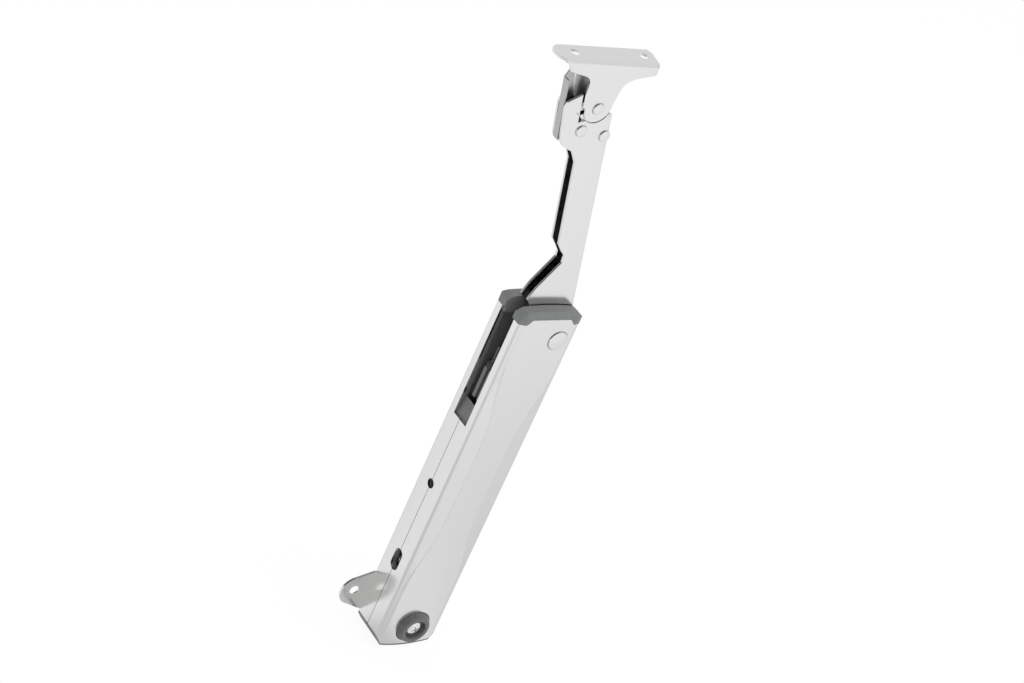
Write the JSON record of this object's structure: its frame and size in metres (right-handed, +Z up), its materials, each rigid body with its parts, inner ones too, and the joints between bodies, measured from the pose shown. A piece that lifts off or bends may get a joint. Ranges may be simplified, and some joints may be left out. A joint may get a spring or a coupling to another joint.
{
  "type": "lid stay",
  "caption": "Soft-down lid stay: slim plated housing with a fixing lug, a folding channel arm driven by a cam, spring and damper, and an L bracket for the lid.",
  "frame": {"origin": "on the flat back face, on the housing's middle line, level with the lower ends of its narrow sides", "axes": "+Z up along the housing, +Y out of the back face towards the cabinet side, X across the wide faces; the arm closes towards -X"},
  "size_m": [0.0647, 0.022, 0.3058],
  "materials": {
    "nickel_plate": "bright satin nickel plate",
    "grey_moulding": "mid-grey moulded plastic",
    "bush_moulding": "dark grey moulded plastic",
    "bright_screw": "bright zinc plate",
    "clip_steel": "satin grey plate",
    "hard_steel": "ground hardened steel",
    "spring_steel": "oiled spring wire",
    "damper_steel": "drawn steel tube",
    "wedge_brass": "plain machined",
    "slide_moulding": "grey glass-filled plastic",
    "bearing_plastic": "pale bearing plastic"
  },
  "bodies": {
    "housing": {"front_shell": "nickel_plate", "rear_shell": "nickel_plate", "front_liner": "grey_moulding", "rear_liner": "grey_moulding", "pivot_rivet": "nickel_plate", "pivot_washers": "bearing_plastic", "fixing_bush": "bush_moulding", "fixing_screw": "bright_screw", "damper_cylinder": "damper_steel", "damper_cap": "slide_moulding"},
    "arm": {"arm": "nickel_plate", "cam_plate": "hard_steel", "cam_rivets": "nickel_plate", "pivot_sleeve": "bearing_plastic", "bracket_pin": "nickel_plate", "clip_pin": "nickel_plate", "web_pin": "nickel_plate", "bracket_spacer": "hard_steel", "clip_spring": "spring_steel"},
    "carriage": {"carriage": "slide_moulding", "roller_axle": "hard_steel", "damper_rod": "hard_steel", "main_spring": "spring_steel"},
    "roller": {"roller": "hard_steel"},
    "adjuster": {"adjust_screw": "bright_screw", "adjust_ring": "spring_steel"},
    "wedge": {"wedge_nut": "wedge_brass"},
    "seat": {"spring_seat": "slide_moulding"},
    "bracket": {"bracket": "nickel_plate"},
    "clip": {"release_clip": "clip_steel"}
  },
  "joints": [
    {"name": "arm_pivot", "type": "hinge", "parent": "housing", "child": "arm", "pos_m": [0.0076, -0.0095, 0.16687], "axis": [0, -1, 0], "range_deg": [0, 115], "stiffness_Nm_per_rad": 0.12, "springref_deg": -57.3},
    {"name": "carriage_slide", "type": "slide", "parent": "housing", "child": "carriage", "axis": [0, 0, -1], "range_m": [0, 0.00575], "deforming": ["main_spring"]},
    {"name": "roller_spin", "type": "hinge", "parent": "carriage", "child": "roller", "pos_m": [0.0076, -0.0095, 0.15707], "axis": [0, 1, 0], "continuous": true},
    {"name": "adjuster_turn", "type": "hinge", "parent": "housing", "child": "adjuster", "pos_m": [-0.013, -0.0095, 0.0365], "axis": [1, 0, 0], "range_deg": [-720, 720]},
    {"name": "wedge_slide", "type": "slide", "parent": "housing", "child": "wedge", "axis": [1, 0, 0], "range_m": [-0.0016, 0.0016]},
    {"name": "seat_slide", "type": "slide", "parent": "housing", "child": "seat", "axis": [0, 0, 1], "range_m": [-0.00056, 0.00056]},
    {"name": "bracket_pivot", "type": "hinge", "parent": "arm", "child": "bracket", "pos_m": [-0.02037, -0.0095, 0.27822], "axis": [0, 1, 0], "range_deg": [0, 45]},
    {"name": "clip_pivot", "type": "hinge", "parent": "arm", "child": "clip", "pos_m": [-0.02396, -0.0095, 0.26764], "axis": [0, -1, 0], "range_deg": [0, 10], "stiffness_Nm_per_rad": 0.02, "springref_deg": -17.19}
  ],
  "couplings": [
    {"joint": "carriage_slide", "follows": "arm_pivot", "m_per_rad": 0.0028648},
    {"joint": "adjuster_turn", "follows": "wedge_slide", "rad_per_m": 7854},
    {"joint": "seat_slide", "follows": "wedge_slide", "ratio": 0.35}
  ]
}
